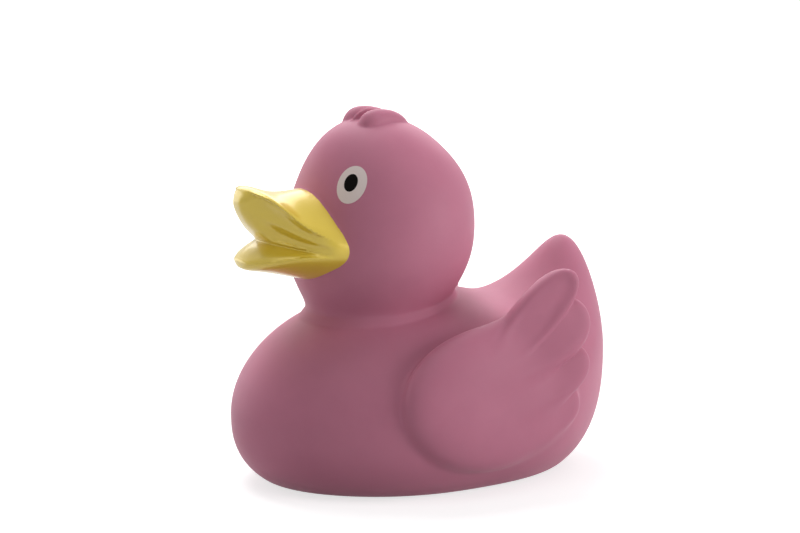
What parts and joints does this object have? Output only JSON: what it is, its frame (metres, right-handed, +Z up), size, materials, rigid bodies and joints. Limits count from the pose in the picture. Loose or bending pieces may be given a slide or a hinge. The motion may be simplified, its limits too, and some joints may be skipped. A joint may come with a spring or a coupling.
{
  "type": "rubber duck",
  "caption": "Hollow vinyl bath toy duck on a flat base, with an upturned open bill, raised wings with feather tips, a lifted tail and a small crest.",
  "frame": {"origin": "on the floor under the middle of the duck's length and width", "axes": "+Z up, the duck faces -Y, +X is its left side"},
  "size_m": [0.0674, 0.0843, 0.0785],
  "materials": {
    "vinyl_pink": "matt soft vinyl",
    "bill_yellow": "glossy pearl lacquer on the bill",
    "eye_white": "satin printed white",
    "eye_black": "glossy printed black"
  },
  "bodies": {
    "root": {"duck_body": "vinyl_pink"}
  },
  "joints": []
}
